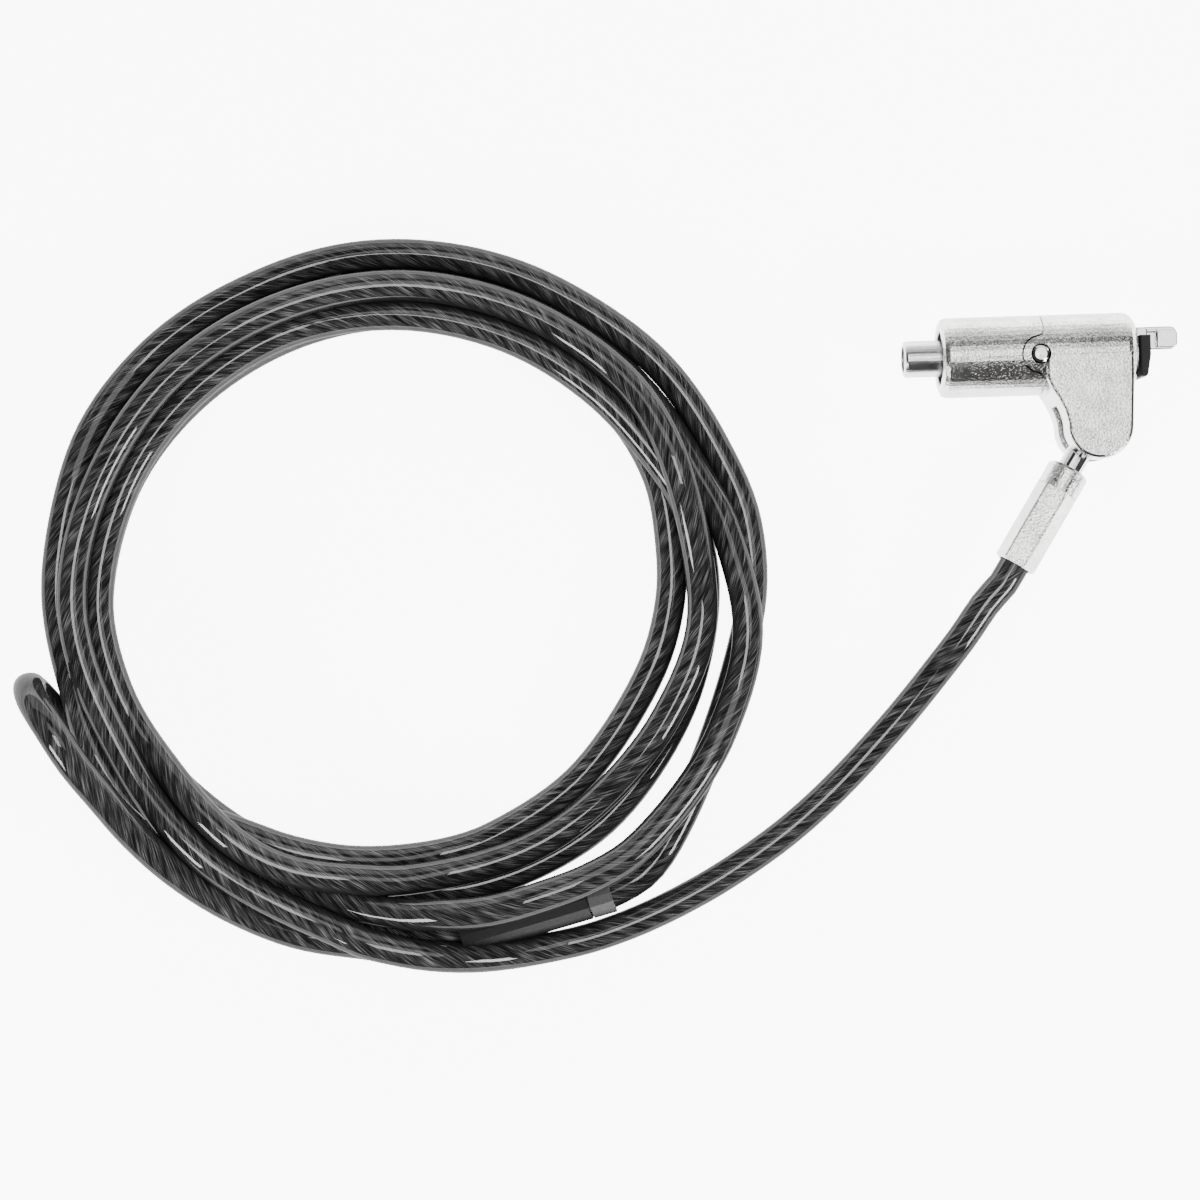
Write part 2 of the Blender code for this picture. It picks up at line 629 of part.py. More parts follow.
def cable_coil():
    """Outer shape of the five turns, cut clear of the sleeve and of the eye below it."""
    inner, outer = COIL_R
    low, high = 0.0, COIL_HEIGHT
    profile = [(low, inner + 2.0), (low, outer - 2.0), (low + 2.0, outer),
               (high - 5.0, outer), (high, outer - 5.0), (high, inner + 5.0),
               (high - 5.0, inner), (low + 2.0, inner)]
    coil = turned("cable_coil", profile, (*COIL_C, 0), (0, 0, 1), 64, "cable_vinyl")
    length = sleeve_axes()[4]
    width, height = SLEEVE_SIZE
    boolean(coil, oval_bar("cut_coil_sleeve", -3.0, length + 3.0, (width + 0.8, height + 0.8)))
    return boolean(coil, tube_tool("cut_coil_loop", smooth_route(LOOP_ROUTE, 40),
                                   CABLE_R + 0.8))


def cable():
    direction = Vector(stem_direction())
    start = Vector((*PIVOT, BARREL_R))
    inside = [start + direction * s for s in (14.6, 21.0, FERRULE_END, 32.0)]
    lead = smooth_route([tuple(p) for p in inside] + list(LEAD_ROUTE), 32)
    tube("cable_lead", lead, CABLE_R, "cable_vinyl")
    tube("cable_loop", smooth_route(LOOP_ROUTE, 40), CABLE_R, "cable_vinyl")
    cable_coil()


def main():
    clear_scene()
    rear_housing()
    front_housing()
    rivet("rivet_near", 1)
    rivet("rivet_far", -1)
    coupling_bush()
    cylinder_sleeve()
    push_cylinder()
    key_plug()
    for index, x in enumerate(WAFER_X, 1):
        wafer(index, x)
    locking_bolt()
    push_spindle()
    locking_pin()
    return_spring()
    hook_arm()
    rubber_pad()
    pivot_pin()
    swivel_stem()
    swivel_washer()
    ferrule()
    crimp()
    cable()


main()
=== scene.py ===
"""Looks for the laptop cable lock: camera, the coiled cable, finishes, floor and studio light.

Lengths are written in the head's own millimetres, as in the CAD source: head zero is the middle
of the barrel's rear end, and at() turns them into the row frame's metres.
"""
import math

import bmesh
import bpy
import numpy as np
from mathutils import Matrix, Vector

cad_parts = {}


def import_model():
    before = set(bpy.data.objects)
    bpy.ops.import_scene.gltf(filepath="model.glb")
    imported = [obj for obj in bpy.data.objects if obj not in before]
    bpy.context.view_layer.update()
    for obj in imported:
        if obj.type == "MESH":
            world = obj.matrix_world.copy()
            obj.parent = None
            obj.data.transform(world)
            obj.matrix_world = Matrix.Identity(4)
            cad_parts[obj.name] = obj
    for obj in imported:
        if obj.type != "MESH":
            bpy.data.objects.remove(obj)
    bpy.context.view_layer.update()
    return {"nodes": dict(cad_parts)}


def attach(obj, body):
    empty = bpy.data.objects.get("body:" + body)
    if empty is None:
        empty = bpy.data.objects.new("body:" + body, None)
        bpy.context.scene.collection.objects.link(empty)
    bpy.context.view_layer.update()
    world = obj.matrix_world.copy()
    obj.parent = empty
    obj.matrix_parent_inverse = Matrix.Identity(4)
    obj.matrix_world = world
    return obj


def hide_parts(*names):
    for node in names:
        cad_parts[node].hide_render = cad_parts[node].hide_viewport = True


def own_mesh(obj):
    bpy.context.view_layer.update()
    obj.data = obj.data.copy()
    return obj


MM = 0.001
ORIGIN = (17.95, -16.0495)          # the row frame's origin, in head millimetres
BARREL_R = 7.15
RECESS_R = 4.9                      # the recess round the push button
PIVOT = (27.2, -13.3)               # the pin that the stem swings on
STEM_ANGLE = math.radians(238.1)
FERRULE_END = 28.2
STEM_POINTS = (14.6, 21.0, FERRULE_END, 32.0)   # the cable's first, along the stem from the pin

HOOK_Y = (0.3, 4.4)
HOOK_ROOT_X = 35.0
HOOK_END_X = 42.3
TOOTH_X = 38.5
BLADE_Z, ROOT_Z, TOOTH_Z, RIB_Z = (7.3, 8.5), (7.5, 9.1), (7.6, 9.5), (7.6, 9.1)
HOOK_EDGE = 0.22                    # rounding of the hook's edges
SPRING = (7.6, 13.9, 2.6, 5)        # first and last x, radius, coils
SPRING_WIRE_R = 0.25

CABLE_R = 2.75
STRANDS = 6.0                       # of the rope under the vinyl
WIRES = 96.0                        # fine wires round the rope
LAY = 0.023                         # length of one turn of the strands, metres
# The lead, from the ferrule to the coil.
LEAD_ROUTE = (
    (7.3, -43.7, 6.7), (2.9, -49.9, 5.9), (-1.8, -55.9, 4.7), (-7.5, -62.8, 3.6),
    (-13.4, -69.3, 3.0), (-18.9, -74.9, 2.8), (-24.6, -80.1, 2.8), (-30.5, -84.8, 2.8),
    (-36.7, -89.0, 2.8), (-43.2, -92.9, 2.8), (-49.9, -96.3, 2.8), (-56.9, -99.3, 2.8),
    (-64.1, -101.7, 2.8), (-69.2, -102.9, 2.8),
)
# The loop, out of the sleeve's upper bore and back to its lower one.
LOOP_ROUTE = (
    (-93.4, -99.2, 8.6), (-101.5, -98.6, 6.4), (-112.0, -95.6, 4.0), (-123.0, -90.8, 2.9),
    (-134.8, -85.1, 2.8), (-144.6, -77.6, 2.8), (-152.5, -69.5, 2.8), (-158.0, -62.0, 3.4),
    (-161.4, -56.4, 6.6), (-162.6, -53.4, 13.6), (-160.4, -55.8, 20.6), (-156.9, -60.6, 23.6),
    (-153.6, -66.4, 22.6), (-149.4, -72.7, 19.8), (-144.8, -79.5, 16.2), (-138.4, -86.7, 12.2),
    (-129.6, -93.7, 8.0), (-118.2, -99.4, 4.6), (-106.9, -101.8, 3.3), (-97.5, -102.9, 3.4),
)
COIL_C = (-97.5, -40.3)
# Each turn runs clockwise from near the sleeve: bearing in degrees, radius, height.
TURNS = (
    ((-74.0, 66.4, 5.2), (-80.0, 64.7, 9.0), (-86.0, 63.0, 12.0), (-92.0, 61.6, 12.6),
     (-100.0, 59.8, 12.8), (-137.0, 56.4, 15.0), (-182.0, 57.5, 13.0), (-227.0, 55.7, 13.0),
     (-272.0, 55.1, 12.4), (-317.0, 55.4, 12.4), (-362.0, 54.0, 8.3), (-385.0, 52.2, 8.2),
     (-407.0, 50.8, 7.8), (-425.0, 50.4, 7.8)),
    ((-92.0, 49.9, 9.3), (-105.0, 50.8, 11.7), (-120.0, 51.3, 13.2), (-137.0, 51.5, 13.6),
     (-151.0, 52.2, 11.0), (-165.0, 53.5, 8.5), (-182.0, 54.5, 8.3), (-205.0, 54.0, 8.3),
     (-227.0, 53.1, 8.3), (-250.0, 52.7, 8.3), (-272.0, 51.9, 8.3), (-295.0, 51.8, 8.3),
     (-317.0, 51.9, 8.3), (-335.0, 52.6, 8.3), (-350.0, 54.0, 6.6), (-362.0, 54.4, 3.6),
     (-382.0, 53.5, 2.8), (-407.0, 53.2, 2.8), (-422.0, 52.6, 2.8), (-440.0, 52.6, 2.8)),
    ((-92.0, 51.6, 2.8), (-105.0, 50.9, 2.8), (-120.0, 50.9, 2.8), (-137.0, 51.7, 2.8),
     (-151.0, 53.1, 2.8), (-165.0, 54.3, 2.8), (-182.0, 54.8, 2.8), (-205.0, 53.9, 2.8),
     (-227.0, 52.6, 2.8), (-250.0, 51.9, 2.8), (-272.0, 51.8, 2.8), (-295.0, 51.6, 2.8),
     (-317.0, 51.9, 2.8), (-335.0, 51.3, 2.8), (-350.0, 49.4, 2.8), (-362.0, 48.3, 2.8),
     (-378.0, 46.5, 2.8), (-407.0, 45.2, 2.8), (-430.0, 45.5, 2.8), (-440.0, 46.0, 3.2)),
    ((-92.0, 46.4, 5.0), (-105.0, 47.4, 7.3), (-120.0, 49.1, 8.2), (-137.0, 52.4, 8.4),
     (-151.0, 54.9, 8.0), (-182.0, 60.0, 3.0), (-227.0, 57.6, 4.8), (-272.0, 56.9, 5.6),
     (-317.0, 57.5, 6.0), (-362.0, 61.9, 8.3), (-385.0, 61.8, 10.2), (-407.0, 60.7, 13.2),
     (-416.0, 59.4, 14.8)),
    ((-65.0, 57.7, 15.7), (-75.5, 56.6, 15.4), (-85.0, 55.5, 14.6), (-92.0, 54.9, 13.2),
     (-137.0, 57.6, 9.5), (-182.0, 60.5, 8.3), (-227.0, 62.8, 2.8), (-272.0, 62.2, 2.8),
     (-317.0, 62.1, 2.8), (-340.0, 61.9, 2.8), (-362.0, 62.5, 2.8), (-407.0, 65.4, 2.8)),
)
# Settling leaves these stretches where they are: turn counted from 0, first and last bearing.
HELD = ((0, -74.0, -100.0), (2, -92.0, -378.0), (3, -92.0, -120.0), (3, -385.0, -416.0),
        (4, -65.0, -85.0))
SLEEVE_ENDS = ((-61.6, -92.9), (-88.3, -99.9))
SLEEVE_Z = 6.5
SLEEVE_TILT = math.radians(71.0)    # at 90 degrees one bore would be right above the other
SLEEVE_WALL = 0.6                   # extra room that the turns leave round the sleeve's cables
BORE_OFFSET = 2.9                   # from the sleeve's middle to each of its two cables
BAND_LENGTH = 4.2
# Radius of the dark tubes put inside the sleeve as painted shade behind the gap at its band.
SHADE_LINER_R = 3.35

STEP = 2.5                          # between points along the settled cable
NEIGHBOURS = 5                      # points this near along the cable never push each other
GAP = 0.04                          # left between turns that touch
# In each round of settling a free point sinks this many millimetres, and then goes this share
# of the way clear of the turns it overlaps, back to its own curve and back to where it began.
ROUNDS, SINK, CLEAR, CURVE, BACK = 260, 0.03, 0.6, 0.45, 0.03

CAMERA_AT = (-0.07978, -0.02515, 0.440)     # metres, in the row frame
CAMERA_ROLL = math.radians(-1.8)
CAMERA_LENS = 72.7

LIT_POINT = (-0.06, -0.02, 0.0)     # that the lights face, metres
FLOOR_HALF = 30.0                   # metres
FLOOR_Z = -0.0002                   # just under the lowest pieces, metres


def at(x, y, z):
    return Vector(((x - ORIGIN[0]) * MM, (y - ORIGIN[1]) * MM, z * MM))


# ---------------------------------------------------------------- camera

def make_camera():
    data = bpy.data.cameras.new("camera")
    data.lens = CAMERA_LENS
    data.sensor_width = 36.0
    data.clip_start = 0.01
    camera = bpy.data.objects.new("camera", data)
    camera.location = CAMERA_AT
    camera.rotation_euler = (0.0, 0.0, CAMERA_ROLL)
    bpy.context.scene.collection.objects.link(camera)
    bpy.context.scene.camera = camera


# ---------------------------------------------------------------- material helpers

class Nodes:
    """Short calls for building a node tree round one Principled shader."""

    def __init__(self, name):
        self.material = bpy.data.materials.new(name)
        self.material.use_nodes = True
        self.tree = self.material.node_tree
        self.shader = self.tree.nodes["Principled BSDF"]

    def add(self, kind, **settings):
        node = self.tree.nodes.new(kind)
        for key, value in settings.items():
            setattr(node, key, value)
        return node

    def put(self, socket, value):
        """Link a socket or set a constant."""
        if isinstance(value, bpy.types.NodeSocket):
            self.tree.links.new(value, socket)
        else:
            socket.default_value = value

    def math(self, operation, a, b=None, c=None):
        node = self.add("ShaderNodeMath", operation=operation)
        for socket, value in zip(node.inputs, (a, b, c)):
            if value is not None:
                self.put(socket, value)
        return node.outputs[0]

    def ramp(self, factor, stops):
        """A straight blend between stops, each a position and a grey or a colour."""
        node = self.add("ShaderNodeValToRGB")
        elements = node.color_ramp.elements
        while len(elements) < len(stops):
            elements.new(0.5)
        for element, (position, tone) in zip(elements, stops):
            element.position = position
            element.color = (*tone, 1.0) if isinstance(tone, tuple) else (tone, tone, tone, 1.0)
        self.put(node.inputs["Fac"], factor)
        return node.outputs["Color"]

    def noise(self, vector, scale, detail=2.0, roughness=0.5):
        node = self.add("ShaderNodeTexNoise")
        self.put(node.inputs["Vector"], vector)
        node.inputs["Scale"].default_value = scale
        node.inputs["Detail"].default_value = detail
        node.inputs["Roughness"].default_value = roughness
        return node.outputs["Fac"]

    def mix(self, factor, a, b):
        node = self.add("ShaderNodeMix", data_type="RGBA")
        self.put(node.inputs[0], factor)
        self.put(node.inputs[6], a)
        self.put(node.inputs[7], b)
        return node.outputs[2]

    def combine(self, x, y, z):
        node = self.add("ShaderNodeCombineXYZ")
        for socket, value in zip(node.inputs, (x, y, z)):
            self.put(socket, value)
        return node.outputs[0]

    def bump(self, height, strength, distance):
        node = self.add("ShaderNodeBump")
        node.inputs["Strength"].default_value = strength
        node.inputs["Distance"].default_value = distance
        self.put(node.inputs["Height"], height)
        self.put(self.shader.inputs["Normal"], node.outputs["Normal"])

    def facing(self, stops):
        """A ramp from 0 where the surface faces the viewer to 1 where it turns away."""
        node = self.add("ShaderNodeLayerWeight")
        node.inputs["Blend"].default_value = 0.5
        return self.ramp(node.outputs["Facing"], stops)

    def set(self, **values):
        """Set the shader's inputs, named with _ for a space, and return the material."""
        for key, value in values.items():
            self.put(self.shader.inputs[key.replace("_", " ")], value)
        return self.material


def coordinates(nodes):
    """Place on the object, in metres."""
    return nodes.add("ShaderNodeTexCoord").outputs["Object"]


# ---------------------------------------------------------------- cable route

def stem_direction():
    return Vector((math.cos(STEM_ANGLE), math.sin(STEM_ANGLE), 0.0))


def sleeve_frame():
    """Right end, unit axis and the direction across the two bores, in head millimetres."""
    start = Vector((*SLEEVE_ENDS[0], SLEEVE_Z))
    axis = Vector((*SLEEVE_ENDS[1], SLEEVE_Z)) - start
    length = axis.length
    axis.normalize()
    inward = -Vector((0, 0, 1)).cross(axis)
    across = inward * math.cos(SLEEVE_TILT) + Vector((0, 0, 1)) * math.sin(SLEEVE_TILT)
    return start, axis, across, length


def cable_controls():
    """Route of the whole cable: lead, five turns, sleeve, eye and back into the sleeve.

    Returns the points and, for each, whether settling may move it.
    """
    pivot = Vector((*PIVOT, BARREL_R))
    points = [pivot + stem_direction() * s for s in STEM_POINTS]
    points += [Vector(p) for p in LEAD_ROUTE]
    free = [False] * len(points)
    for turn, stations in enumerate(TURNS):
        for bearing, radius, height in stations:
            angle = math.radians(bearing)
            points.append(Vector((COIL_C[0] + radius * math.cos(angle),
                                  COIL_C[1] + radius * math.sin(angle), height)))
            free.append(not any(turn == held and last <= bearing <= first
                                for held, first, last in HELD))
    start, axis, across, length = sleeve_frame()
    lower, upper = start - across * BORE_OFFSET, start + across * BORE_OFFSET
    points += [lower - axis * 1.0, lower + axis * length * 0.5, lower + axis * length]
    free += [False] * 3
    points += [Vector(p) for p in reversed(LOOP_ROUTE)]
    free += [False] * len(LOOP_ROUTE)
    points.append(upper + axis * length * 0.6)
    free.append(False)
    return points, free


def spaced(points, free, step, pieces=40):
    """Even steps along a centripetal Catmull-Rom curve through the points.

    The curve is first cut into pieces between one point and the next. Returns the steps and,
    for each, whether it is loose.
    """
    route = [points[0] * 2 - points[1]] + points + [points[-1] * 2 - points[-2]]
    fine, loose = [], []
    for k, (p0, p1, p2, p3) in enumerate(zip(route, route[1:], route[2:], route[3:])):
        t1 = (p1 - p0).length ** 0.5
        t2 = t1 + (p2 - p1).length ** 0.5
        t3 = t2 + (p3 - p2).length ** 0.5
        for i in range(pieces):
            t = t1 + (t2 - t1) * i / pieces
            a1 = p0 * ((t1 - t) / t1) + p1 * (t / t1)
            a2 = p1 * ((t2 - t) / (t2 - t1)) + p2 * ((t - t1) / (t2 - t1))
            a3 = p2 * ((t3 - t) / (t3 - t2)) + p3 * ((t - t2) / (t3 - t2))
            b1 = a1 * ((t2 - t) / t2) + a2 * (t / t2)
            b2 = a2 * ((t3 - t) / (t3 - t1)) + a3 * ((t - t1) / (t3 - t1))
            fine.append(b1 * ((t2 - t) / (t2 - t1)) + b2 * ((t - t1) / (t2 - t1)))
            loose.append(free[k] or (k + 1 < len(free) and free[k + 1]))
    line = np.array(fine)
    along = np.concatenate([[0.0], np.cumsum(np.linalg.norm(np.diff(line, axis=0), axis=1))])
    where = np.arange(0.0, along[-1], step)
    even = np.stack([np.interp(where, along, line[:, k]) for k in range(3)], axis=1)
    return even, np.interp(where, along, np.array(loose, float)) > 0.5


def in_sleeve(line):
    """Which points lie between the sleeve's ends and within 5 mm of its axis."""
    start, axis, _, length = sleeve_frame()
    start, axis = np.array(start), np.array(axis)
    along = (line - start) @ axis
    off = np.linalg.norm(line - start - np.outer(along, axis), axis=1)
    return (along > 0) & (along < length) & (off < 5.0)


def settle(line, loose):
    """Let the free turns rest: they push each other apart, sink and keep their own curve."""
    start = line.copy()
    bend = np.zeros_like(line)
    bend[1:-1, :2] = start[1:-1, :2] - (start[:-2, :2] + start[2:, :2]) / 2
    count = len(line)
    apart = np.abs(np.subtract.outer(np.arange(count), np.arange(count))) > NEIGHBOURS
    weight = loose.astype(float)[:, None]
    thick = np.where(~loose & in_sleeve(line), SLEEVE_WALL, 0.0)
    width = 2 * CABLE_R + GAP + thick[:, None] + thick[None, :]
    for _ in range(ROUNDS):
        line[:, 2] -= SINK * weight[:, 0]
        delta = line[:, None, :] - line[None, :, :]
        distance = np.sqrt((delta ** 2).sum(2)) + 1e-9
        close = np.where(apart & (distance < width), width - distance, 0.0)
        push = (delta / distance[..., None] * close[..., None]).sum(1)
        contacts = np.maximum((close > 0).sum(1), 1)[:, None]
        line += CLEAR * push / contacts ** 0.5 * weight
        middle = (line[:-2] + line[2:]) / 2 + bend[1:-1]
        line[1:-1] += CURVE * (middle - line[1:-1]) * weight[1:-1]
        line[:, :2] += BACK * (start[:, :2] - line[:, :2]) * weight
        line[:, 2] = np.maximum(line[:, 2], CABLE_R)
    return line


def cable_line():
    points, free = cable_controls()
    line, loose = spaced(points, free, STEP)
    return settle(line, loose)


# ---------------------------------------------------------------- tube mesh

def tube_mesh(name, line, radius, segments):
    """A closed tube along the line with a UV map: u round it and v in metres along it."""
    count = len(line)
    tangent = np.gradient(line, axis=0)
    tangent /= np.linalg.norm(tangent, axis=1)[:, None]
    side = np.cross(tangent[0], (0.0, 0.0, 1.0))
    side /= np.linalg.norm(side)
    sides = []
    for t in tangent:
        side = side - t * side.dot(t)
        side /= np.linalg.norm(side)
        sides.append(side)
    sides = np.array(sides)
    ups = np.cross(tangent, sides)
    along = np.concatenate([[0.0], np.cumsum(np.linalg.norm(np.diff(line, axis=0), axis=1))])
    angles = 2 * math.pi * np.arange(segments) / segments
    rings = (line[:, None, :] + radius * (np.cos(angles)[None, :, None] * sides[:, None, :]
                                          + np.sin(angles)[None, :, None] * ups[:, None, :]))
    vertices = rings.reshape(-1, 3)
    i, j = np.meshgrid(np.arange(count - 1), np.arange(segments), indexing="ij")
    a = i * segments + j
    b = i * segments + (j + 1) % segments
    quads = np.stack([a, b, b + segments, a + segments], axis=-1).reshape(-1, 4)
    faces = quads.tolist() + [list(range(segments))[::-1],
                              list(range((count - 1) * segments, count * segments))]
    mesh = bpy.data.meshes.new(name)
    mesh.from_pydata([tuple(v) for v in vertices], [], faces)
    u0, u1 = (j / segments).ravel(), ((j + 1) / segments).ravel()
    v0, v1 = along[i].ravel(), along[i + 1].ravel()
    uv = np.stack([u0, v0, u1, v0, u1, v1, u0, v1], axis=-1).reshape(-1, 2)
    layer = mesh.uv_layers.new(name="lay")
    flat = np.zeros((len(mesh.loops), 2))
    flat[:len(uv)] = uv
    layer.data.foreach_set("uv", flat.ravel())
    mesh.shade_smooth()
    mesh.validate()
    obj = bpy.data.objects.new(name, mesh)
    bpy.context.scene.collection.objects.link(obj)
    return obj


# ---------------------------------------------------------------- materials

def cable_finish():
    """Smoky clear vinyl over a wire rope: strands laid right-handed, of fine wires. The wires carry
    painted glints, with painted shade towards the grooves between strands and at the rim.
    """
    n = Nodes("smoky_vinyl_rope")
    uv = n.add("ShaderNodeUVMap", uv_map="lay").outputs[0]
    split = n.add("ShaderNodeSeparateXYZ")
    n.put(split.inputs[0], uv)
    around, along = split.outputs[0], split.outputs[1]
    turns = n.math("MULTIPLY", along, 1.0 / LAY)
    strand = n.math("FRACT", n.math("MULTIPLY", n.math("SUBTRACT", around, turns), STRANDS))
    from_crown = n.math("SUBTRACT", n.math("MULTIPLY", strand, 2.0), 1.0)
    crown = n.math("SUBTRACT", 1.0, n.math("ABSOLUTE", from_crown))
    slant = n.math("SUBTRACT", around, n.math("MULTIPLY", turns, 0.75))
    across = n.math("MULTIPLY", slant, WIRES)
    fine = n.noise(n.combine(across, n.math("MULTIPLY", along, 280.0), 0.0), 1.0, 1.0, 0.4)
    coarse = n.noise(n.combine(n.math("MULTIPLY", across, 0.2),
                               n.math("MULTIPLY", along, 90.0), 4.0), 1.0, 2.0, 0.5)
    # Wire tone: the rope's lighter wires, partly their own colour and partly painted glints.
    # Painted shade dims them towards the grooves between the strands, and the tone varies at random
    # in patches.
    wires = n.ramp(fine, [(0.0, 0.0), (0.44, 0.08), (0.56, 0.42), (0.68, 1.0)])
    groove_shade = n.ramp(crown, [(0.0, 0.25), (0.3, 0.70), (0.7, 1.0), (1.0, 1.0)])
    patch = n.ramp(coarse, [(0.3, 0.35), (0.7, 1.0)])
    glint = n.math("MULTIPLY", n.math("MULTIPLY", wires, groove_shade), patch)
    base = n.mix(glint, (0.003, 0.003, 0.0031, 1.0), (0.145, 0.145, 0.148, 1.0))
    # Towards the silhouette the thick clear vinyl hides the wires, and its colour is darkened there
    # as painted shade.
    shaded_rim = n.facing([(0.16, 0.0), (0.40, 0.75), (1.0, 1.0)])
    colour = n.mix(shaded_rim, base, (0.011, 0.011, 0.0114, 1.0))
    n.bump(n.math("ADD", n.math("MULTIPLY", crown, 0.6), fine), 0.25, 0.00008)
    gloss = n.facing([(0.20, 1.0), (0.45, 0.25), (1.0, 0.08)])
    return n.set(Base_Color=colour, Metallic=0.0, Roughness=0.45, Specular_IOR_Level=0.0,
                 Coat_Weight=gloss, Coat_Roughness=0.03, Coat_IOR=1.35)


def metal_finish(name, colour, roughness, grain_scale, grain, bump=0.0, bore=None):
    """Blasted or turned metal: fine grain and slow mottling, with painted shade darkening the
    colour where it turns away.

    bore is the radius round the barrel's axis inside which the colour is painted near black, as
    shade in the recess.
    """
    n = Nodes(name)
    place = coordinates(n)
    spot = n.noise(place, grain_scale, 3.0, 0.6)
    cloud = n.noise(place, 260.0, 2.0, 0.5)
    both = n.math("ADD", n.math("MULTIPLY", spot, 0.7), n.math("MULTIPLY", cloud, 0.3))
    dark = tuple(c * (1 - grain) for c in colour)
    light = tuple(min(1.0, c * (1 + grain * 0.6)) for c in colour)
    tint = n.ramp(both, [(0.36, dark), (0.64, light)])
    rough = n.ramp(spot, [(0.25, roughness * 0.8), (0.75, min(1.0, roughness * 1.3))])
    # Painted shade: metal inside the bore's radius is mixed to near black, standing in for the
    # shade in the recess.
    if bore:
        tint = n.mix(painted_bore_shade(n, place, bore), tint, (0.035, 0.034, 0.033, 1.0))
    if bump:
        n.bump(spot, bump, 0.00008)
    # Painted shade: the colour darkens towards the silhouette, where the surface turns away.
    shaded_rim = n.facing([(0.40, 0.0), (0.85, 0.75)])
    colour = n.mix(shaded_rim, tint, (0.05, 0.05, 0.05, 1.0))
    return n.set(Base_Color=colour, Metallic=1.0, Roughness=rough)


def painted_bore_shade(n, place, radius):
    """Mask for painted shade in the bore: 1 within the given radius of the barrel's axis, in
    millimetres, and 0 outside it.
    """
    split = n.add("ShaderNodeSeparateXYZ")
    n.put(split.inputs[0], place)
    axis = at(0.0, 0.0, BARREL_R)
    y = n.math("SUBTRACT", split.outputs[1], axis.y)
    z = n.math("SUBTRACT", split.outputs[2], axis.z)
    squared = n.math("ADD", n.math("MULTIPLY", y, y), n.math("MULTIPLY", z, z))
    return n.math("LESS_THAN", squared, (radius * MM) ** 2)


def plain_finish(name, colour, roughness, scale, bump):
    """Rubber or shrink tube: dull, with a faint mottling."""
    n = Nodes(name)
    spot = n.noise(coordinates(n), scale, 3.0, 0.6)
    tint = n.ramp(spot, [(0.3, tuple(c * 0.8 for c in colour)),
                         (0.7, tuple(c * 1.25 for c in colour))])
    n.bump(spot, bump, 0.00004)
    return n.set(Base_Color=tint, Metallic=0.0, Roughness=roughness, Specular_IOR_Level=0.15)


def finishes():
    return {
        "satin_nickel": metal_finish("satin_nickel_look", (0.46, 0.457, 0.447), 0.17, 2600, 0.45,
                                     1.0, bore=RECESS_R),
        "turned_steel": metal_finish("turned_steel_look", (0.40, 0.40, 0.397), 0.20, 4000, 0.18,
                                     0.5),
        "chrome": metal_finish("chrome_look", (0.46, 0.465, 0.47), 0.10, 2600, 0.12, 0.3),
        "brass": metal_finish("brass_look", (0.72, 0.58, 0.30), 0.30, 5000, 0.08, 0.1),
        "spring_steel": metal_finish("spring_steel_look", (0.52, 0.52, 0.54), 0.3, 6000, 0.08),
        # Painted shade: near-black steel for the coupling bush, which shows only through narrow
        # gaps, so that the gaps read dark.
        "gap_shade_steel": metal_finish("dark_steel_look", (0.06, 0.06, 0.058), 0.45, 4000, 0.1),
        "aluminium": metal_finish("aluminium_look", (0.70, 0.71, 0.72), 0.4, 5000, 0.08, 0.2),
        "black_rubber": plain_finish("black_rubber_look", (0.016, 0.016, 0.017), 0.72, 5000, 0.2),
        "black_sleeve": plain_finish("black_sleeve_look", (0.004, 0.004, 0.0045), 0.75, 2500, 0.15),
        "grey_sleeve": plain_finish("grey_sleeve_look", (0.035, 0.035, 0.036), 0.7, 2500, 0.1),
    }


# The coupling bush gets near-black steel as painted shade in the gaps it shows through.
NODE_FINISH = {
    "rear_housing": "satin_nickel", "front_housing": "satin_nickel", "rivet_near": "chrome",
    "rivet_far": "chrome", "coupling_bush": "gap_shade_steel", "cylinder_sleeve": "turned_steel",
    "push_cylinder": "turned_steel", "key_plug": "turned_steel", "wafer_1": "brass",
    "wafer_2": "brass", "wafer_3": "brass", "wafer_4": "brass", "locking_bolt": "turned_steel",
    "push_spindle": "turned_steel", "locking_pin": "turned_steel",
    "return_spring": "spring_steel", "hook_arm": "chrome", "rubber_pad": "black_rubber",
    "pivot_pin": "turned_steel", "swivel_stem": "chrome", "swivel_washer": "brass",
    "ferrule": "satin_nickel", "crimp_core": "aluminium", "shrink_cover": "black_sleeve",
    "end_band": "grey_sleeve",
}


def paint(nodes, looks):
    for name, finish in NODE_FINISH.items():
        mesh = nodes[name].data
        mesh.materials.clear()
        mesh.materials.append(looks[finish])


# ---------------------------------------------------------------- pieces

def make_cable():
    """The whole cable as one tube in place of its three plain CAD pieces."""
    line = cable_line()
    metres = np.array([tuple(at(*p)) for p in line])
    cable = tube_mesh("cable", metres, CABLE_R * MM, 20)
    cable.data.materials.append(cable_finish())
    length = float(np.linalg.norm(np.diff(metres, axis=0), axis=1).sum())
    print("cable length", round(length, 3), "m; highest point", round(line[:, 2].max(), 1), "mm")
    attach(cable, "cable")
    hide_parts("cable_lead", "cable_coil", "cable_loop")


def solid(name, bm, material, bevel):
    """An object from a bmesh in head millimetres, moved to the row frame, edges rounded."""
    for vertex in bm.verts:
        vertex.co = at(*vertex.co)
    bmesh.ops.recalc_face_normals(bm, faces=bm.faces)
    mesh = bpy.data.meshes.new(name)
    bm.to_mesh(mesh)
    bm.free()
    mesh.materials.append(material)
    mesh.shade_smooth()
    mesh.set_sharp_from_angle(angle=math.radians(50))
    obj = bpy.data.objects.new(name, mesh)
    bpy.context.scene.collection.objects.link(obj)
    edges = obj.modifiers.new("edges", "BEVEL")
    edges.width = bevel * MM
    edges.segments = 3
    edges.limit_method = "ANGLE"
    edges.angle_limit = math.radians(35)
    return obj


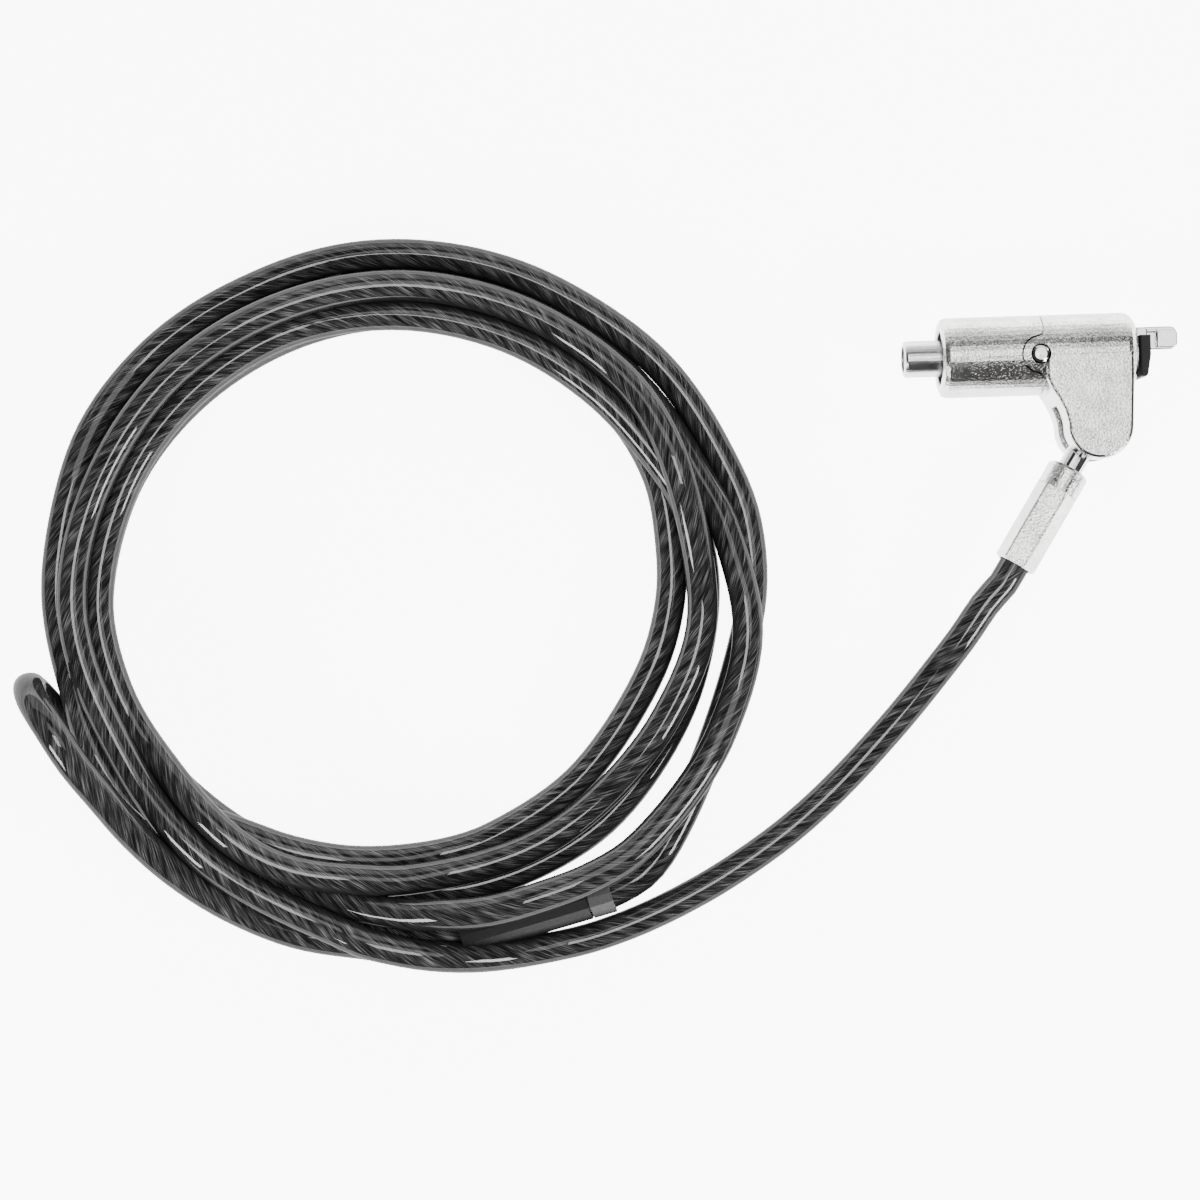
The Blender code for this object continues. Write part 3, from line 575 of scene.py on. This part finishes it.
def slab(bm, outline, low, high):
    """Add an extruded outline between two heights to the bmesh."""
    floor = [bm.verts.new((x, y, low)) for x, y in outline]
    roof = [bm.verts.new((x, y, high)) for x, y in outline]
    bm.faces.new(floor[::-1])
    bm.faces.new(roof)
    for k in range(len(outline)):
        m = (k + 1) % len(outline)
        bm.faces.new([floor[k], floor[m], roof[m], roof[k]])


def corner(x, y, radius, begin):
    """Six points round a quarter turn about (x, y)."""
    angles = [math.radians(begin + 18 * k) for k in range(6)]
    return [(x + radius * math.cos(a), y + radius * math.sin(a)) for a in angles]


def make_hook(look):
    """Blade with a thick root, a raised tooth at its end and a narrow rib between the two."""
    bm = bmesh.new()
    y0, y1 = HOOK_Y
    end = HOOK_END_X
    blade = [(HOOK_ROOT_X, y0), *corner(end - 1.2, y0 + 1.2, 1.2, -90),
             *corner(end - 1.2, y1 - 1.2, 1.2, 0), (HOOK_ROOT_X, y1)]
    slab(bm, blade, *BLADE_Z)
    root = [(HOOK_ROOT_X, y0 + 0.25), (36.5, y0 + 0.25), (36.9, y0 + 0.7),
            (36.9, y1 - 0.5), (36.5, y1 - 0.1), (HOOK_ROOT_X, y1 - 0.1)]
    slab(bm, root, *ROOT_Z)
    tooth = [(TOOTH_X, y0 + 0.2), *corner(end - 1.0, y0 + 1.1, 0.9, -90),
             *corner(end - 1.0, y1 - 1.5, 0.9, 0), (TOOTH_X + 0.5, y1 - 0.6),
             (TOOTH_X, y1 - 1.1)]
    slab(bm, tooth, *TOOTH_Z)
    rib = [(36.7, y1 - 1.1), (TOOTH_X + 0.3, y1 - 1.1), (TOOTH_X + 0.3, y1 - 0.35),
           (36.7, y1 - 0.35)]
    slab(bm, rib, *RIB_Z)
    hook = solid("hook", bm, look, HOOK_EDGE)
    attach(hook, "head")
    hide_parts("hook_arm")


def make_spring(look, per_coil=20):
    """Open coils between the button and the bush; the real spring closes up as the button goes in,
    but this tube stays as it is drawn.
    """
    start, end, radius, coils = SPRING
    steps = coils * per_coil
    line = []
    for k in range(steps + 1):
        angle = 2 * math.pi * k / per_coil
        line.append(at(start + (end - start) * k / steps, radius * math.cos(angle),
                       BARREL_R + radius * math.sin(angle)))
    spring = tube_mesh("spring", np.array([tuple(p) for p in line]), SPRING_WIRE_R * MM, 8)
    spring.data.materials.append(look)
    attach(spring, "head")
    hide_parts("return_spring")
    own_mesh(spring)


def make_shade_liners(look):
    """Short dark tubes inside the sleeve, behind the gap between its band and its cover: painted
    shade, so that the gap looks dark.
    """
    start, axis, across, _ = sleeve_frame()
    for name, side in (("shade_liner_low", -1), ("shade_liner_high", 1)):
        middle = start + across * BORE_OFFSET * side + axis * BAND_LENGTH
        line = [at(*(middle + axis * step)) for step in (-1.2, -0.4, 0.4, 1.4)]
        shade_tube = tube_mesh(name, np.array([tuple(p) for p in line]), SHADE_LINER_R * MM, 24)
        shade_tube.data.materials.append(look)
        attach(shade_tube, "cable")


# ---------------------------------------------------------------- studio

def softbox(name, bearing, lean, distance, size, brightness, size_y=None):
    """A square or oblong panel facing the object.

    It is placed by bearing, lean from vertical (both in degrees) and distance. Its power is its
    brightness times its area, so that a larger panel looks as bright.
    """
    data = bpy.data.lights.new(name, "AREA")
    data.energy = brightness * math.pi * size * (size_y or size)
    data.size = size
    if size_y:
        data.shape = "RECTANGLE"
        data.size_y = size_y
    bearing, lean = math.radians(bearing), math.radians(lean)
    way = Vector((math.sin(lean) * math.cos(bearing), math.sin(lean) * math.sin(bearing),
                  math.cos(lean)))
    light = bpy.data.objects.new(name, data)
    light.location = Vector(LIT_POINT) + way * distance
    light.rotation_euler = (-way).to_track_quat("-Z", "Y").to_euler()
    bpy.context.scene.collection.objects.link(light)


def make_studio():
    """A dim white world, a lamp near the camera, an overhead panel and three from the sides."""
    world = bpy.data.worlds.new("studio")
    world.use_nodes = True
    background = world.node_tree.nodes["Background"]
    background.inputs["Color"].default_value = (1.0, 1.0, 1.0, 1.0)
    background.inputs["Strength"].default_value = 0.07
    bpy.context.scene.world = world
    softbox("lamp", 194.0, 2.0, 0.60, 0.17, 20.0)
    softbox("overhead", 60.0, 17.0, 0.60, 0.50, 4.6, 0.24)
    softbox("back_wall", 90.0, 72.0, 0.65, 1.3, 2.5, 0.50)
    softbox("right_box", -35.0, 60.0, 0.60, 0.16, 42.0)
    softbox("left_box", 217.0, 62.0, 0.60, 0.16, 42.0)


def make_floor():
    """A white table that glows as if lit from below, so that shadows on it stay faint."""
    bm = bmesh.new()
    bmesh.ops.create_grid(bm, x_segments=1, y_segments=1, size=FLOOR_HALF)
    mesh = bpy.data.meshes.new("floor")
    bm.to_mesh(mesh)
    bm.free()
    floor = bpy.data.objects.new("floor", mesh)
    floor.location.z = FLOOR_Z
    bpy.context.scene.collection.objects.link(floor)
    n = Nodes("lit_table")
    spot = n.noise(coordinates(n), 40.0)
    n.set(Base_Color=n.ramp(spot, [(0.0, 0.93), (1.0, 0.95)]), Roughness=0.9,
          Emission_Color=(1.0, 1.0, 1.0, 1.0), Emission_Strength=8.0)
    mesh.materials.append(n.material)


def main():
    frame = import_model()
    make_camera()
    make_cable()
    looks = finishes()
    paint(frame["nodes"], looks)
    make_hook(looks["chrome"])
    make_spring(looks["spring_steel"])
    make_shade_liners(looks["black_sleeve"])
    make_floor()
    make_studio()


main()
